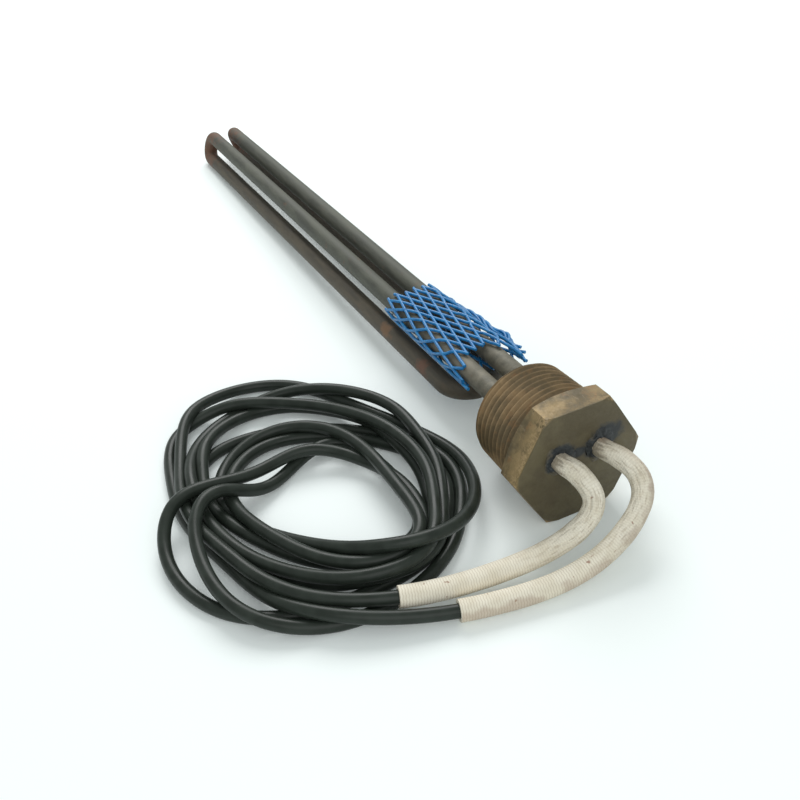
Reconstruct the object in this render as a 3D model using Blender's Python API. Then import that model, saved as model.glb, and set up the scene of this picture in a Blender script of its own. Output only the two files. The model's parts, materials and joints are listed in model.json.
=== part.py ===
"""Screw plug immersion heater.

A hexagon head plug with a taper pipe thread carries one long tubular heating
element. The element is bent into four parallel legs: it leaves the plug along
the upper left leg, turns back at the far tip, turns again in a return bend
close behind the plug, runs out to the second tip and comes home along the
upper right leg. Its two cold ends come through the plug into potted pockets in
the front face, where each terminal pin is crimped to a flexible lead in a
braided fibreglass sleeve. A tubular plastic net covers the two upper legs.

The heater lies as it comes to rest: on the rear edge of the hexagon's bottom
flat and on the two element tips. Front is -Y, the element points along +Y.
"""

import math

import bmesh
import bpy
from mathutils import Matrix, Vector

MM = 0.001

# Driving sizes, in millimetres

GAP = 0.3

THREAD_LENGTH = 21.1
THREAD_DIAMETER = 33.4
THREAD_TAPER = 1.0 / 16.0
THREAD_LEAD_IN = 1.6
THREADS_PER_INCH = 11.5
THREAD_DEPTH = 1.4
THREAD_CREST_SHARE = 0.16
THREAD_SUNK = 0.5

HEX_SHOULDER = 0.765
HEX_ACROSS_FLATS = THREAD_DIAMETER + 2 * HEX_SHOULDER
HEX_THICKNESS = 8.8
HEX_CHAMFER_OUTSIDE_FLATS = 1.235
HEX_REAR_CHAMFER_OUTSIDE_FLATS = 0.1
HEX_CHAMFER_ANGLE = 30.0

SHEATH_DIAMETER = 6.5
SHEATH_WALL = 0.5
UPPER_LEG_SPREAD = 10.6
UPPER_LEG_HEIGHT = 4.6
LOWER_LEG_SPREAD = 17.2
LOWER_LEG_DROP = 5.2
TIP_BEND_DISTANCE = 314.0
RETURN_BEND_DISTANCE = 62.0
COLD_LENGTH = 62.0
COIL_DIAMETER = 1.8
FILL_BORE = COIL_DIAMETER + 2 * GAP

POCKET_DIAMETER = 8.8
POCKET_DEPTH = 9.0
POCKET_SPREAD = 12.6
POCKET_HEIGHT = 3.2
SHEATH_PROTRUSION = 0.6
PIN_DIAMETER = 1.6
PIN_STICKS_OUT = 3.2
SEAL_LENGTH = 1.6
FERRULE_WALL = 0.5
FERRULE_LENGTH = 4.4
FERRULE_OVERLAP = 2.2
CONDUCTOR_DIAMETER = 1.5
POTTING_DOME = 0.9

BRAZE_WIDTH = 1.5
BRAZE_HEIGHT = 1.2

LEAD_DIAMETER = 3.8
SLEEVE_WALL = 0.35
CORD_START = 2.1

NET_START = 54.0
NET_LENGTH = 46.0
NET_STRAND = 0.9
NET_ROWS = 7
NET_MESHES_AROUND = 12
NET_TWIST = 0.13
NET_SIDE_PULL = 8.0
NET_RIGHT_BULGE = 3.0

COIL_CENTRE = (-62.5, -111.0)
COIL_HALF_LENGTH = 50.0
COIL_HALF_WIDTH = 41.0
COIL_BAND_WIDTH = 22.0
COIL_HEIGHT = 15.0
COIL_TURNED_BY = -21.0

# The free stretch of each sleeved lead, by hand: x, y and height above the
# surface that the heater lies on.

LEFT_SLEEVE_ROUTE = (
    (-4.8, -167.0, 20.2),
    (-3.2, -171.2, 18.2),
    (-3.2, -173.8, 14.8),
    (-7.3, -174.8, 10.6),
    (-15.3, -174.9, 7.4),
    (-24.7, -174.4, 5.4),
    (-35.3, -172.6, 3.9),
    (-46.0, -170.4, 3.0),
    (-59.6, -166.4, 2.6),
)
LEFT_LEAD_ROUTE = (
    (-67.0, -164.4, 2.2),
    (-76.0, -160.8, 2.2),
    (-84.0, -155.6, 2.2),
)
RIGHT_SLEEVE_ROUTE = (
    (8.6, -168.0, 20.4),
    (10.3, -173.2, 18.6),
    (9.6, -176.8, 15.4),
    (4.4, -180.0, 11.4),
    (-3.4, -182.6, 8.2),
    (-11.8, -184.0, 5.6),
    (-21.2, -183.9, 3.8),
    (-30.7, -182.1, 2.9),
    (-39.9, -180.2, 2.6),
    (-47.2, -178.6, 2.6),
)
RIGHT_LEAD_ROUTE = (
    (-56.0, -176.2, 2.2),
    (-66.0, -173.4, 2.2),
    (-76.0, -168.8, 2.2),
    (-85.0, -162.0, 2.2),
    (-91.0, -152.6, 2.2),
)
ROUTE_STEP = 8.0

# Facets

TUBE_SIDES = 16
FINE_SIDES = 10
SLEEVE_SIDES = 12
TURNED_SIDES = 64
THREAD_SIDES = 36
COIL_SIDES = 32
BEND_STEPS = 8

# Sizes that follow from the driving ones

PLUG_LENGTH = HEX_THICKNESS + THREAD_LENGTH
HEX_CORNER_RADIUS = HEX_ACROSS_FLATS / math.sqrt(3.0)
HEX_CHAMFER_START = HEX_ACROSS_FLATS / 2 + HEX_CHAMFER_OUTSIDE_FLATS
HEX_REAR_CHAMFER_START = HEX_ACROSS_FLATS / 2 + HEX_REAR_CHAMFER_OUTSIDE_FLATS
THREAD_PITCH = 25.4 / THREADS_PER_INCH
SHEATH_RADIUS = SHEATH_DIAMETER / 2
SHEATH_BORE_RADIUS = SHEATH_RADIUS - SHEATH_WALL
FILL_RADIUS = SHEATH_BORE_RADIUS - GAP
SLEEVE_RADIUS = LEAD_DIAMETER / 2 + GAP + SLEEVE_WALL
LEFT, RIGHT = -1, 1


class Finish:
    """Look of one material: colour, roughness and metallic value."""

    def __init__(self, name, colour, roughness, metallic=0.0):
        self.data = bpy.data.materials.new(name)
        self.data.use_nodes = True
        shader = self.data.node_tree.nodes["Principled BSDF"]
        shader.inputs["Base Color"].default_value = (*colour, 1.0)
        shader.inputs["Roughness"].default_value = roughness
        shader.inputs["Metallic"].default_value = metallic
        self.data.diffuse_color = (*colour, 1.0)


def clear_scene():
    for obj in list(bpy.data.objects):
        bpy.data.objects.remove(obj, do_unlink=True)


def make_materials():
    return {
        "brass": Finish("aged_brass", (0.30, 0.20, 0.09), 0.45, 1.0),
        "sheath": Finish("oxidised_steel", (0.14, 0.13, 0.12), 0.5, 0.9),
        "braze": Finish("braze_alloy", (0.55, 0.45, 0.25), 0.4, 1.0),
        "magnesia": Finish("magnesia", (0.85, 0.83, 0.78), 0.9),
        "resistance": Finish("resistance_alloy", (0.45, 0.43, 0.42), 0.4, 1.0),
        "pin": Finish("nickel_steel", (0.6, 0.58, 0.55), 0.35, 1.0),
        "seal": Finish("seal_compound", (0.5, 0.2, 0.12), 0.6),
        "copper": Finish("tinned_copper", (0.72, 0.55, 0.42), 0.35, 1.0),
        "potting": Finish("potting_compound", (0.02, 0.03, 0.05), 0.35),
        "fibreglass": Finish("braided_fibreglass", (0.72, 0.67, 0.58), 0.85),
        "insulation": Finish("black_insulation", (0.02, 0.022, 0.02), 0.35),
        "net": Finish("blue_net", (0.03, 0.2, 0.55), 0.4),
    }


def new_object(name, mesh, material, parent=None):
    obj = bpy.data.objects.new(name, mesh)
    bpy.context.scene.collection.objects.link(obj)
    obj.data.materials.append(material.data)
    obj.parent = parent
    return obj


def mesh_object(name, bm, material, parent=None, sharp_angle=35.0):
    bmesh.ops.recalc_face_normals(bm, faces=bm.faces)
    mesh = bpy.data.meshes.new(name)
    bm.to_mesh(mesh)
    bm.free()
    mesh.shade_smooth()
    mesh.set_sharp_from_angle(angle=math.radians(sharp_angle))
    return new_object(name, mesh, material, parent)


def turned(name, profile, material, parent=None, centre=(0.0, 0.0), sides=TURNED_SIDES):
    """A body turned about an axis along +Y through centre (x, z).

    profile is a closed outline of (radius, y) points. A point with radius 0
    lies on the axis.
    """
    bm = bmesh.new()
    points = [bm.verts.new((radius * MM, y * MM, 0.0)) for radius, y in profile]
    edges = [bm.edges.new(pair) for pair in zip(points, points[1:] + points[:1])]
    bmesh.ops.spin(
        bm,
        geom=points + edges,
        cent=(0.0, 0.0, 0.0),
        axis=(0.0, 1.0, 0.0),
        angle=2 * math.pi,
        steps=sides,
        use_merge=True,
    )
    bmesh.ops.remove_doubles(bm, verts=bm.verts, dist=1e-7)
    loose = [edge for edge in bm.edges if not edge.link_faces]
    bmesh.ops.delete(bm, geom=loose, context="EDGES")
    bmesh.ops.translate(bm, verts=bm.verts, vec=(centre[0] * MM, 0.0, centre[1] * MM))
    return mesh_object(name, bm, material, parent)


def helper(obj):
    """A cutter or a guide: never part of the heater itself."""
    obj.hide_render = True
    obj.display_type = "WIRE"
    return obj


def boolean(obj, other, operation):
    modifier = obj.modifiers.new(other.name, "BOOLEAN")
    modifier.operation = operation
    modifier.object = other
    modifier.solver = "EXACT"


def smooth_route(points, step):
    """Points about one step apart on a smooth curve through the given ones."""
    points = [Vector(point) for point in points]
    ends = [points[0] * 2 - points[1], *points, points[-1] * 2 - points[-2]]
    route = []
    for before, start, end, after in zip(ends, ends[1:], ends[2:], ends[3:]):
        count = max(1, round((end - start).length / step))
        for index in range(count):
            t = index / count
            route.append(
                0.5
                * (
                    2 * start
                    + (end - before) * t
                    + (2 * before - 5 * start + 4 * end - after) * t**2
                    + (3 * start - before - 3 * end + after) * t**3
                )
            )
    route.append(points[-1])
    return route


def sweep(name, path, outer, inner, material, parent=None, sides=TUBE_SIDES):
    """A round bar, or a tube where inner is above 0, swept along path (mm)."""
    path = [Vector(point) for point in path]
    bm = bmesh.new()
    across = Vector((0.0, 0.0, 1.0))
    rings = []
    for index, point in enumerate(path):
        ahead = path[min(index + 1, len(path) - 1)]
        behind = path[max(index - 1, 0)]
        along = (ahead - behind).normalized()
        across = (across - along * across.dot(along)).normalized()
        side = along.cross(across)
        walls = []
        for radius in (outer, inner) if inner else (outer,):
            wall = []
            for k in range(sides):
                angle = 2 * math.pi * (k + 0.5) / sides
                offset = across * math.cos(angle) + side * math.sin(angle)
                wall.append(bm.verts.new((point + offset * radius) * MM))
            walls.append(wall)
        rings.append(walls)
    for first, second in zip(rings, rings[1:]):
        for wall_a, wall_b in zip(first, second):
            for k in range(sides):
                nxt = (k + 1) % sides
                bm.faces.new((wall_a[k], wall_a[nxt], wall_b[nxt], wall_b[k]))
    for walls in (rings[0], rings[-1]):
        if not inner:
            bm.faces.new(walls[0])
            continue
        for k in range(sides):
            nxt = (k + 1) % sides
            bm.faces.new((walls[0][k], walls[0][nxt], walls[1][nxt], walls[1][k]))
    return mesh_object(name, bm, material, parent)


def arc(centre, start, towards, steps=BEND_STEPS):
    """Half a turn about centre, from start and first heading towards."""
    centre, start, towards = Vector(centre), Vector(start), Vector(towards)
    spoke = start - centre
    heading = towards.normalized() * spoke.length
    turn = [math.pi * index / steps for index in range(steps + 1)]
    return [centre + spoke * math.cos(a) + heading * math.sin(a) for a in turn]


def upper_leg(side, y):
    return Vector((side * UPPER_LEG_SPREAD / 2, y, UPPER_LEG_HEIGHT))


def lower_leg(side, y):
    return Vector((side * LOWER_LEG_SPREAD / 2, y, -LOWER_LEG_DROP))


def element_path(first_y, last_y):
    """Centre line of the folded element, from the left end to the right."""
    forward, back = Vector((0, 1, 0)), Vector((0, -1, 0))
    path = [upper_leg(LEFT, first_y)]
    for side, leg_in, leg_out in ((LEFT, upper_leg, lower_leg), (RIGHT, lower_leg, upper_leg)):
        start = leg_in(side, TIP_BEND_DISTANCE)
        end = leg_out(side, TIP_BEND_DISTANCE)
        path += arc((start + end) / 2, start, forward)
        if side == LEFT:
            start = lower_leg(LEFT, RETURN_BEND_DISTANCE)
            end = lower_leg(RIGHT, RETURN_BEND_DISTANCE)
            path += arc((start + end) / 2, start, back)
    path.append(upper_leg(RIGHT, last_y))
    return path


def thread_radius(y, turn):
    """Radius of the tapered thread at y, on the line that lies turn of the way round."""
    crest = THREAD_DIAMETER / 2 - (y - HEX_THICKNESS) * THREAD_TAPER / 2
    from_root = abs((y / THREAD_PITCH - turn + 0.5) % 1.0 - 0.5)
    flank = (1 - THREAD_CREST_SHARE) / 2
    radius = crest - THREAD_DEPTH * max(0.0, 1 - from_root / flank)
    chamfer_start = PLUG_LENGTH - THREAD_LEAD_IN
    return min(radius, crest - max(0.0, y - chamfer_start))


def threaded_shank(parent, brass):
    """The taper shank with its right-hand thread, as one closed body.

    Each column of points runs along the shank over every root and crest. The columns climb
    one pitch in a turn, so the last one meets the first one a pitch further on.
    """
    first, last = HEX_THICKNESS - THREAD_SUNK, PLUG_LENGTH
    corners = (0.0, (1 - THREAD_CREST_SHARE) / 2, (1 + THREAD_CREST_SHARE) / 2)
    base = math.floor(first / THREAD_PITCH) - 1
    count = math.ceil((last - first) / THREAD_PITCH) + 3
    bm = bmesh.new()
    columns = []
    for k in range(THREAD_SIDES):
        turn = k / THREAD_SIDES
        angle = 2 * math.pi * turn
        column = []
        for pitch in range(count):
            for corner in corners:
                y = (base + pitch + corner + turn) * THREAD_PITCH
                y = min(last, max(first, y))
                radius = thread_radius(y, turn)
                place = (radius * math.sin(angle) * MM, y * MM, radius * math.cos(angle) * MM)
                column.append(bm.verts.new(place))
        columns.append(column)
    top = len(columns[0]) - 1
    for k, column in enumerate(columns):
        climb = len(corners) if k == THREAD_SIDES - 1 else 0
        beside = columns[(k + 1) % THREAD_SIDES]
        for row in range(top):
            low, high = min(row + climb, top), min(row + 1 + climb, top)
            if low < high:
                bm.faces.new((column[row], column[row + 1], beside[high], beside[low]))
            else:
                bm.faces.new((column[row], column[row + 1], beside[top]))
    bmesh.ops.remove_doubles(bm, verts=bm.verts, dist=1e-6)
    bmesh.ops.dissolve_degenerate(bm, edges=bm.edges, dist=1e-7)
    loose = [vert for vert in bm.verts if not vert.link_faces]
    bmesh.ops.delete(bm, geom=loose, context="VERTS")
    bmesh.ops.holes_fill(bm, edges=bm.edges, sides=0)
    return mesh_object("taper_shank", bm, brass, parent)


def make_plug(parent, brass):
    """The hexagon head with its chamfered corners, the threaded shank, the leg holes and the pockets."""
    bm = bmesh.new()
    bmesh.ops.create_cone(
        bm,
        cap_ends=True,
        segments=6,
        radius1=HEX_CORNER_RADIUS * MM,
        radius2=HEX_CORNER_RADIUS * MM,
        depth=HEX_THICKNESS * MM,
    )
    # The bar lies along Y with a flat at the bottom and its front face at y = 0.
    lie_down = Matrix.Rotation(math.radians(-90), 4, "X")
    turn_flat = Matrix.Rotation(math.radians(30), 4, "Z")
    slide = Matrix.Translation((0.0, HEX_THICKNESS / 2 * MM, 0.0))
    bmesh.ops.transform(bm, verts=bm.verts, matrix=slide @ lie_down @ turn_flat)
    plug = mesh_object("screw_plug", bm, brass, parent, sharp_angle=20.0)

    beyond = HEX_CORNER_RADIUS + 1.0
    slope = math.tan(math.radians(HEX_CHAMFER_ANGLE))
    front_rise = (beyond - HEX_CHAMFER_START) * slope
    rear_rise = (beyond - HEX_REAR_CHAMFER_START) * slope
    chamfers = turned(
        "hexagon_chamfers",
        [
            (0.0, 0.0),
            (HEX_CHAMFER_START, 0.0),
            (beyond, front_rise),
            (beyond, HEX_THICKNESS - rear_rise),
            (HEX_REAR_CHAMFER_START, HEX_THICKNESS),
            (0.0, HEX_THICKNESS),
        ],
        brass,
        parent,
    )
    boolean(plug, helper(chamfers), "INTERSECT")
    boolean(plug, helper(threaded_shank(parent, brass)), "UNION")

    for side, word in ((LEFT, "left"), (RIGHT, "right")):
        leg = upper_leg(side, 0.0)
        hole = turned(
            f"leg_hole_{word}",
            [
                (0.0, POCKET_DEPTH / 2),
                (SHEATH_RADIUS + GAP, POCKET_DEPTH / 2),
                (SHEATH_RADIUS + GAP, PLUG_LENGTH + 1.0),
                (0.0, PLUG_LENGTH + 1.0),
            ],
            brass,
            parent,
            centre=(leg.x, leg.z),
            sides=TUBE_SIDES * 2,
        )
        boolean(plug, helper(hole), "DIFFERENCE")
        pocket = turned(
            f"pocket_cut_{word}",
            [
                (0.0, -1.0),
                (POCKET_DIAMETER / 2, -1.0),
                (POCKET_DIAMETER / 2, POCKET_DEPTH),
                (0.0, POCKET_DEPTH),
            ],
            brass,
            parent,
            centre=pocket_centre(side),
            sides=TUBE_SIDES * 2,
        )
        boolean(plug, helper(pocket), "DIFFERENCE")


def pocket_centre(side):
    return (side * POCKET_SPREAD / 2, POCKET_HEIGHT)


def make_element(parent, looks):
    """The folded tube with what it holds: magnesia, resistance coil, pins and end seals."""
    end = POCKET_DEPTH - SHEATH_PROTRUSION
    sweep(
        "element_sheath",
        element_path(end, end),
        SHEATH_RADIUS,
        SHEATH_BORE_RADIUS,
        looks["sheath"],
        parent,
    )
    fill_end = end + SEAL_LENGTH + GAP
    sweep(
        "magnesia_fill",
        element_path(fill_end, fill_end),
        FILL_RADIUS,
        FILL_BORE / 2,
        looks["magnesia"],
        parent,
        sides=FINE_SIDES,
    )
    coil_end = end + COLD_LENGTH
    sweep(
        "resistance_coil",
        element_path(coil_end, coil_end),
        COIL_DIAMETER / 2,
        0.0,
        looks["resistance"],
        parent,
        sides=8,
    )
    pin_end = end - PIN_STICKS_OUT
    for side, word in ((LEFT, "left"), (RIGHT, "right")):
        leg = upper_leg(side, 0.0)
        sweep(
            f"cold_pin_{word}",
            [upper_leg(side, pin_end), upper_leg(side, coil_end - GAP)],
            PIN_DIAMETER / 2,
            0.0,
            looks["pin"],
            parent,
            sides=FINE_SIDES,
        )
        turned(
            f"end_seal_{word}",
            [
                (PIN_DIAMETER / 2 + GAP, end),
                (SHEATH_BORE_RADIUS - GAP, end),
                (SHEATH_BORE_RADIUS - GAP, end + SEAL_LENGTH),
                (PIN_DIAMETER / 2 + GAP, end + SEAL_LENGTH),
            ],
            looks["seal"],
            parent,
            centre=(leg.x, leg.z),
            sides=FINE_SIDES,
        )
        ring = SHEATH_RADIUS + GAP
        turned(
            f"braze_ring_{word}",
            [
                (ring, PLUG_LENGTH + GAP),
                (ring + BRAZE_WIDTH, PLUG_LENGTH + GAP),
                (ring + BRAZE_WIDTH * 0.4, PLUG_LENGTH + GAP + BRAZE_HEIGHT * 0.4),
                (ring, PLUG_LENGTH + GAP + BRAZE_HEIGHT),
            ],
            looks["braze"],
            parent,
            centre=(leg.x, leg.z),
            sides=FINE_SIDES * 2,
        )


def make_terminals(parent, looks):
    """Each pin's crimp ferrule and bare conductor, and the potting that fills the pocket's mouth."""
    pin_end = POCKET_DEPTH - SHEATH_PROTRUSION - PIN_STICKS_OUT
    bore = max(PIN_DIAMETER, CONDUCTOR_DIAMETER) / 2 + GAP
    ferrule_end = pin_end + FERRULE_OVERLAP
    for side, word in ((LEFT, "left"), (RIGHT, "right")):
        leg = upper_leg(side, 0.0)
        turned(
            f"crimp_ferrule_{word}",
            [
                (bore, ferrule_end - FERRULE_LENGTH),
                (bore + FERRULE_WALL, ferrule_end - FERRULE_LENGTH),
                (bore + FERRULE_WALL, ferrule_end),
                (bore, ferrule_end),
            ],
            looks["copper"],
            parent,
            centre=(leg.x, leg.z),
            sides=FINE_SIDES * 2,
        )
        centre = pocket_centre(side)
        outer = POCKET_DIAMETER / 2 - GAP
        inner = SLEEVE_RADIUS + GAP
        turned(
            f"potting_{word}",
            [
                (inner, -POTTING_DOME),
                ((inner + outer) / 2, -POTTING_DOME * 0.8),
                (outer, 0.0),
                (outer, CORD_START),
                (inner, CORD_START),
            ],
            looks["potting"],
            parent,
            centre=centre,
            sides=FINE_SIDES * 2,
        )


def rest_tilt():
    """How far the axis dips towards the tips when the heater lies on its plug and tips."""
    rise = HEX_ACROSS_FLATS / 2 - (LOWER_LEG_DROP + SHEATH_RADIUS)
    return math.atan2(rise, TIP_BEND_DISTANCE - HEX_THICKNESS)


def world_bounds(objects):
    bpy.context.view_layer.update()
    graph = bpy.context.evaluated_depsgraph_get()
    points = []
    for obj in objects:
        shape = obj.evaluated_get(graph)
        points += [shape.matrix_world @ vertex.co for vertex in shape.data.vertices]
    low = Vector(min(point[axis] for point in points) for axis in range(3))
    high = Vector(max(point[axis] for point in points) for axis in range(3))
    return low, high


def lay_down(parent, solids):
    """Tilts the heater to rest and puts the middle of its base at the origin."""
    parent.rotation_euler = (-rest_tilt(), 0.0, 0.0)
    low, high = world_bounds(solids)
    middle = (low + high) / 2
    parent.location = (-middle.x, -middle.y, -low.z)
    bpy.context.view_layer.update()


def net_oval(fraction):
    """Place on the oval that goes round both upper legs: x, and z above their axes."""
    clearance = SHEATH_RADIUS + GAP + NET_STRAND / 2
    straight = UPPER_LEG_SPREAD
    half = straight / 2
    run = (fraction % 1.0) * (2 * straight + 2 * math.pi * clearance)
    if run < straight:
        return (run - half, clearance)
    run -= straight
    if run < math.pi * clearance:
        angle = run / clearance
        return (half + clearance * math.sin(angle), clearance * math.cos(angle))
    run -= math.pi * clearance
    if run < straight:
        return (half - run, -clearance)
    angle = (run - straight) / clearance
    return (-half - clearance * math.sin(angle), -clearance * math.cos(angle))


def net_knot(fraction, share):
    """A knot of the net. share runs from 0 at its far end to 1 at the end by the plug."""
    x, z = net_oval(fraction + NET_TWIST * share)
    edge = UPPER_LEG_SPREAD / 2 + SHEATH_RADIUS
    sideways = min(1.0, abs(x) / edge) ** 4
    near = share**3
    y = NET_START + NET_LENGTH * (1 - share) - NET_SIDE_PULL * sideways * near
    if x > 0:
        x += NET_RIGHT_BULGE * sideways * near
    return (x * MM, y * MM, (z + UPPER_LEG_HEIGHT) * MM)


def make_net(parent, material):
    """A tubular diamond net pulled over the two upper legs, as one welded lattice."""
    bm = bmesh.new()
    rings = []
    for row in range(NET_ROWS + 2):
        shift = 0.5 * (row % 2)
        ring = []
        for k in range(NET_MESHES_AROUND):
            place = net_knot((k + shift) / NET_MESHES_AROUND, row / (NET_ROWS + 1))
            ring.append(bm.verts.new(place))
        rings.append(ring)
    for row in range(NET_ROWS):
        for k in range(NET_MESHES_AROUND):
            odd = row % 2
            left = rings[row + 1][(k - 1 + odd) % NET_MESHES_AROUND]
            right = rings[row + 1][(k + odd) % NET_MESHES_AROUND]
            bm.faces.new((rings[row][k], right, rings[row + 2][k], left))
    net = mesh_object("net_sleeve", bm, material, parent)
    wire = net.modifiers.new("strands", "WIREFRAME")
    wire.thickness = NET_STRAND * MM
    wire.use_even_offset = False
    wire.use_boundary = True
    wire.use_replace = True


def cord(name, route, diameter, material):
    """A plain round cord along a route in millimetres."""
    curve = bpy.data.curves.new(name, "CURVE")
    curve.dimensions = "3D"
    curve.bevel_depth = diameter / 2 * MM
    curve.bevel_resolution = 3
    curve.use_fill_caps = True
    spline = curve.splines.new("POLY")
    spline.points.add(len(route) - 1)
    for point, place in zip(spline.points, route):
        point.co = (*(Vector(place) * MM), 1.0)
    return new_object(name, curve, material)


def make_leads(parent, looks):
    """Bare conductor, insulated lead and fibreglass sleeve of each side, and the coiled length of both."""
    pin_end = POCKET_DEPTH - SHEATH_PROTRUSION - PIN_STICKS_OUT
    routes = {
        "left": (LEFT, LEFT_SLEEVE_ROUTE, LEFT_LEAD_ROUTE),
        "right": (RIGHT, RIGHT_SLEEVE_ROUTE, RIGHT_LEAD_ROUTE),
    }
    for word, (side, sleeve_route, lead_route) in routes.items():
        leg = upper_leg(side, 0.0)
        x, z = pocket_centre(side)

        def placed(y, x=x, z=z):
            return parent.matrix_world @ Vector((x * MM, y * MM, z * MM)) / MM

        sweep(
            f"conductor_{word}",
            [
                (leg.x, pin_end - GAP, leg.z),
                (leg.x, CORD_START + GAP, leg.z),
            ],
            CONDUCTOR_DIAMETER / 2,
            0.0,
            looks["copper"],
            parent,
            sides=FINE_SIDES,
        )
        mouth = [placed(CORD_START), placed(-1.5)]
        sleeve_path = smooth_route(mouth + list(sleeve_route), ROUTE_STEP)
        sweep(
            f"fibreglass_sleeve_{word}",
            sleeve_path,
            SLEEVE_RADIUS,
            LEAD_DIAMETER / 2 + GAP,
            looks["fibreglass"],
            sides=SLEEVE_SIDES,
        )
        lead_path = smooth_route(mouth + list(sleeve_route) + list(lead_route), ROUTE_STEP)
        cord(f"lead_{word}", lead_path, LEAD_DIAMETER, looks["insulation"])

    band = COIL_BAND_WIDTH / 2
    profile = []
    for index in range(12):
        angle = 2 * math.pi * index / 12
        radius = COIL_HALF_LENGTH - band + band * math.cos(angle)
        profile.append((radius, COIL_HEIGHT / 2 * math.sin(angle)))
    coil = turned("lead_coil", profile, looks["insulation"], sides=COIL_SIDES)
    stand = Matrix.Rotation(math.radians(90), 4, "X")
    squash = Matrix.Diagonal((COIL_HALF_WIDTH / COIL_HALF_LENGTH, 1.0, 1.0, 1.0))
    swing = Matrix.Rotation(math.radians(COIL_TURNED_BY), 4, "Z")
    coil.data.transform(swing @ squash @ stand)
    coil.location = (COIL_CENTRE[0] * MM, COIL_CENTRE[1] * MM, (COIL_HEIGHT / 2 + GAP) * MM)


def main():
    clear_scene()
    looks = make_materials()
    heater = bpy.data.objects.new("heater_axis", None)
    bpy.context.scene.collection.objects.link(heater)
    make_plug(heater, looks["brass"])
    make_element(heater, looks)
    make_terminals(heater, looks)
    make_net(heater, looks["net"])
    solids = [obj for obj in heater.children if not obj.hide_render]
    lay_down(heater, solids)
    make_leads(heater, looks)


main()
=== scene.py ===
"""Screw plug immersion heater, dressed over its CAD model.

Metres, in the row frame: the heater lies on the surface z = 0 with its element along +Y.
"""

import json
import math

import bpy
import numpy as np
from mathutils import Matrix, Vector, noise


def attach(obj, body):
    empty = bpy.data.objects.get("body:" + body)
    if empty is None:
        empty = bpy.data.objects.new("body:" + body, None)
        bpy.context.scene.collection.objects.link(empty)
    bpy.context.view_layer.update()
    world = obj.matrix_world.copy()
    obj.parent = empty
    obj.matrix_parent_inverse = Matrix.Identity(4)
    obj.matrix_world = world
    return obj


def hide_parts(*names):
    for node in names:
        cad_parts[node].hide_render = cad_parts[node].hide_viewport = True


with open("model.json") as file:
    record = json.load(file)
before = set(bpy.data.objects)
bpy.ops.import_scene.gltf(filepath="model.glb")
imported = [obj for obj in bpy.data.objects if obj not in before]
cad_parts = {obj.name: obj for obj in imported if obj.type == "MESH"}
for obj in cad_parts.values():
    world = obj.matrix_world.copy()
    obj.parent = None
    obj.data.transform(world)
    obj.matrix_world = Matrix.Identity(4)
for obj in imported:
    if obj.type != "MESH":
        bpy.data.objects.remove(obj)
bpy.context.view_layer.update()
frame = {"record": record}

MM = 0.001
LEFT, RIGHT = -1, 1

# Sizes of the heater in its own frame, in millimetres: y = 0 is the hexagon's front face
# and +Y points along the element. A chamfer starts at its distance from the axis, and the
# thread's flank is a share of its pitch.

HEX_ACROSS_FLATS = 34.93
HEX_THICKNESS = 8.8
HEX_CHAMFER_START = 18.7
HEX_REAR_CHAMFER_START = 17.565
HEX_CHAMFER_ANGLE = 30.0
HEX_BEVEL = 0.3
THREAD_LENGTH = 21.1
THREAD_DIAMETER = 33.4
THREAD_TAPER = 1.0 / 16.0
THREAD_PITCH = 25.4 / 11.5
THREAD_DEPTH = 0.9
THREAD_FLANK = 0.48
THREAD_CURVE = 1.35
THREAD_SUNK = 0.5
THREAD_LEAD_IN = 1.6
PLUG_LENGTH = HEX_THICKNESS + THREAD_LENGTH
POCKET_DIAMETER = 8.8
POCKET_CUT_DEPTH = 4.0
POCKET_SPREAD = 12.6
POCKET_HEIGHT = 3.2
SHEATH_DIAMETER = 6.5
SHEATH_START = 20.0
UPPER_LEG_SPREAD = 10.6
UPPER_LEG_HEIGHT = 4.6
LOWER_LEG_SPREAD = 17.2
LOWER_LEG_DROP = 5.2
TIP_BEND_DISTANCE = 314.0
RETURN_BEND_DISTANCE = 62.0
LEAD_DIAMETER = 3.8
SLEEVE_DIAMETER = 5.9
SLEEVE_PLAY = 0.15
NET_STRAND = 1.05

# The heater rests on the hexagon's lower rear edge and on the element's tips.

REST_TILT = math.atan2(
    HEX_ACROSS_FLATS / 2 - LOWER_LEG_DROP - SHEATH_DIAMETER / 2,
    TIP_BEND_DISTANCE - HEX_THICKNESS,
)
FRONT_FACE_CENTRE = (0.0, -160.675, 17.717)
LYING = Matrix.Translation(Vector(FRONT_FACE_CENTRE) * MM) @ Matrix.Rotation(-REST_TILT, 4, "X")

# The camera, fitted to the hexagon, the thread's rim and the element's edges.

CAMERA_PLACE = (-122.45, -329.45, 188.53)
CAMERA_RIGHT = (0.8948, -0.4399, -0.076)
CAMERA_UP = (0.3121, 0.4949, 0.811)
CAMERA_LENS = 44.19


def add_object(name, data):
    piece = bpy.data.objects.new(name, data)
    bpy.context.scene.collection.objects.link(piece)
    return piece


def add_camera():
    data = bpy.data.cameras.new("photo_view")
    data.lens = CAMERA_LENS
    data.sensor_width = 36.0
    data.clip_start = 0.01
    data.clip_end = 20.0
    camera = add_object("photo_view", data)
    right = Vector(CAMERA_RIGHT).normalized()
    back = right.cross(Vector(CAMERA_UP)).normalized()
    turn = Matrix((right, back.cross(right), back)).transposed()
    camera.matrix_world = Matrix.Translation(Vector(CAMERA_PLACE) * MM) @ turn.to_4x4()
    bpy.context.scene.camera = camera


# The leads. Each is one wire from its pocket, through its sleeve, into the loose coil.
# These are points on its middle line in the row frame, in millimetres.

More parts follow.
